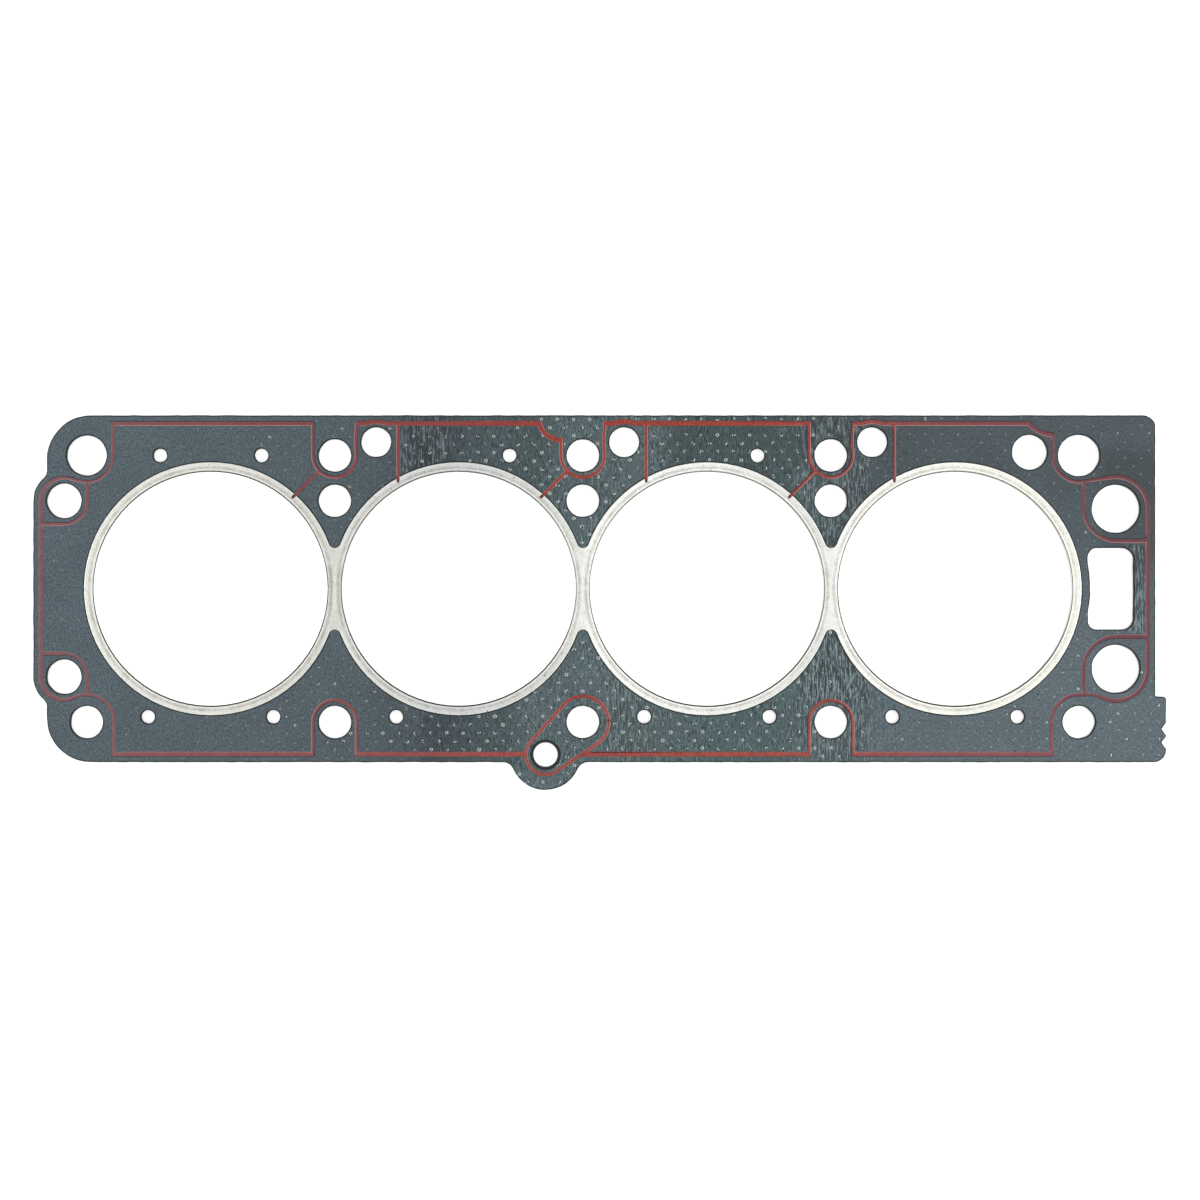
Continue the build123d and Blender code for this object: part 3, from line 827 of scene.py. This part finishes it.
def how_proud(x, y):
    """How far the tangs stand out here, from 0 to 1: most of all in the middle of the gasket."""
    all_over = min(1.0, max(0.2, (x + 170 * mm) / (50 * mm)))
    middle = hump(x - 16 * mm, 80 * mm, 6)
    low_edge = hump(x + 30 * mm, 100 * mm, 4) * hump(y + 60 * mm, 22 * mm, 2)
    low_right = hump(x - 190 * mm, 50 * mm, 2) * hump(y + 50 * mm, 30 * mm, 2)
    return min(1.0, 0.25 * all_over + 0.75 * middle + 0.3 * low_edge + 0.25 * low_right)


random.seed(11)
places = []
for row in range(-rows_each_way, rows_each_way + 1):
    for column in range(-columns_each_way, columns_each_way + 1):
        spot = tang_start + Vector(((column + 0.5 * (row % 2)) * tang_pitch, row * tang_row))
        spot.rotate(Matrix.Rotation(tang_turn, 2))
        spot.x += random.uniform(-tang_scatter, tang_scatter)
        spot.y += random.uniform(-tang_scatter, tang_scatter)
        if bare_facing(spot.x, spot.y):
            places.append(spot)


def tang(tips):
    """One set of four rolled-down tips round a pit, each as bare and as high as its share."""
    bm = bmesh.new()
    pit = bm.verts.layers.float.new("pit")
    bare = bm.verts.layers.float.new("bare_steel")
    bmesh.ops.create_cone(
        bm,
        cap_ends=True,
        segments=tang_sides,
        radius1=tang_radius,
        radius2=tang_crest_radius,
        depth=tang_height,
    )
    bm.faces.ensure_lookup_table()
    crest = max(bm.faces, key=lambda f: f.calc_center_median().z)
    ridge = sorted(crest.verts, key=lambda v: math.atan2(v.co.y, v.co.x))
    for v, share in zip(ridge[::2], tips):
        v[bare] = share
        v.co.z += tip_rise * share
    for v, before, after in zip(ridge[1::2], tips, tips[1:] + tips[:1]):
        v[bare] = between_tips * (before + after) / 2
    bmesh.ops.inset_region(bm, faces=[crest], thickness=tang_crest_width)
    for v in crest.verts:
        v.co.z -= tang_pit_depth
        v[pit] = max(tips)
    return kept_mesh(bm, "tang")


strong_tangs = [tang(tips) for tips in strong_tips]
faint_tangs = [tang(tips) for tips in faint_tips]
for name, side in (("upper_tangs", 1), ("lower_tangs", -1)):
    face_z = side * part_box("upper_facing")[1].z
    bm = bmesh.new()
    for spot in places:
        proud = how_proud(spot.x, spot.y)
        if random.random() > faint_tang_share + proud_tang_share * proud:
            continue
        tilt = random.choice((-1, 1)) * random.uniform(*tang_lean_range)
        lean = Matrix.Rotation(math.radians(tilt), 4, "Y")
        turn = Matrix.Rotation(random.uniform(-math.pi, math.pi), 4, "Z")
        share = faint_tang_size + (1 - faint_tang_size) * proud
        size = Matrix.Scale(random.uniform(*tang_size_range) * share, 4)
        rise = tang_proud * (faint_tang_lift + (1 - faint_tang_lift) * proud)
        lift = face_z + side * (rise - tang_height / 2)
        put = Matrix.Translation((spot.x, spot.y, lift)) @ Matrix.Scale(side, 4, (0, 0, 1))
        kinds = strong_tangs if random.random() < proud**2 else faint_tangs
        placed = random.choice(kinds).copy()
        placed.transform(put @ turn @ lean @ size)
        bm.from_mesh(placed)
        bpy.data.meshes.remove(placed)
    bmesh.ops.recalc_face_normals(bm, faces=bm.faces)
    tangs = finished_piece(bm, name, tang_steel, sharp_angle=70)


# Studio: a plain white light table under the gasket, a broad soft light overhead to the right, and a
# soft light low on each side that catches the bead and the tangs.
floor_reach = 3.0
table_glow = 0.4
air_glow = 0.70
frame_width = 449.8 * mm
view_middle = (6.43 * mm, -4.21 * mm)
lens = 50.0
sensor = 36.0

floor_material, tree, shader = new_material("studio_floor")
paper = use_group(tree, grain, size_mm=40.0, detail=2.0, contrast=1.0)
white = mix_colour(tree, paper, colour(243, 243, 242), colour(246, 246, 246))
tree.links.new(white, shader.inputs["Base Color"])
shader.inputs["Roughness"].default_value = 0.9
shader.inputs["Emission Color"].default_value = (1.0, 1.0, 1.0, 1.0)
shader.inputs["Emission Strength"].default_value = table_glow
bm = bmesh.new()
bmesh.ops.create_grid(bm, x_segments=4, y_segments=4, size=floor_reach)
bmesh.ops.translate(bm, verts=bm.verts, vec=(0, 0, cad_box[0].z))
floor_mesh = kept_mesh(bm, "studio_floor")
floor_mesh.materials.append(floor_material)
floor = bpy.data.objects.new("studio_floor", floor_mesh)
bpy.context.scene.collection.objects.link(floor)

world = bpy.data.worlds.new("studio_air")
world.use_nodes = True
air = world.node_tree.nodes["Background"]
air.inputs["Color"].default_value = (1.0, 1.0, 1.0, 1.0)
air.inputs["Strength"].default_value = air_glow
bpy.context.scene.world = world


def softbox(name, place, aim, width, depth, power):
    """A rectangular soft light that faces a point on the gasket."""
    data = bpy.data.lights.new(name, "AREA")
    data.shape = "RECTANGLE"
    data.size = width
    data.size_y = depth
    data.energy = power
    light = bpy.data.objects.new(name, data)
    light.location = place
    light.rotation_euler = (Vector(aim) - Vector(place)).to_track_quat("-Z", "Y").to_euler()
    bpy.context.scene.collection.objects.link(light)


softbox("overhead_light", (0.75, 0.0, 1.3), (0.0, 0.0, 0.0), 1.1, 1.6, 5.5)
softbox("left_light", (-0.85, 0.0, 0.38), (-0.10, 0.0, 0.0), 0.5, 0.35, 3.0)
softbox("right_light", (0.85, 0.0, 0.38), (0.10, 0.0, 0.0), 0.5, 0.35, 3.0)

camera_data = bpy.data.cameras.new("camera")
camera_data.lens = lens
camera_data.sensor_width = sensor
camera = bpy.data.objects.new("camera", camera_data)
face_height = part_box("upper_facing")[1].z
camera.location = (*view_middle, face_height + frame_width * lens / sensor)
bpy.context.scene.collection.objects.link(camera)
bpy.context.scene.camera = camera
bpy.context.scene.view_settings.view_transform = "Standard"
bpy.context.scene.view_settings.look = "None"
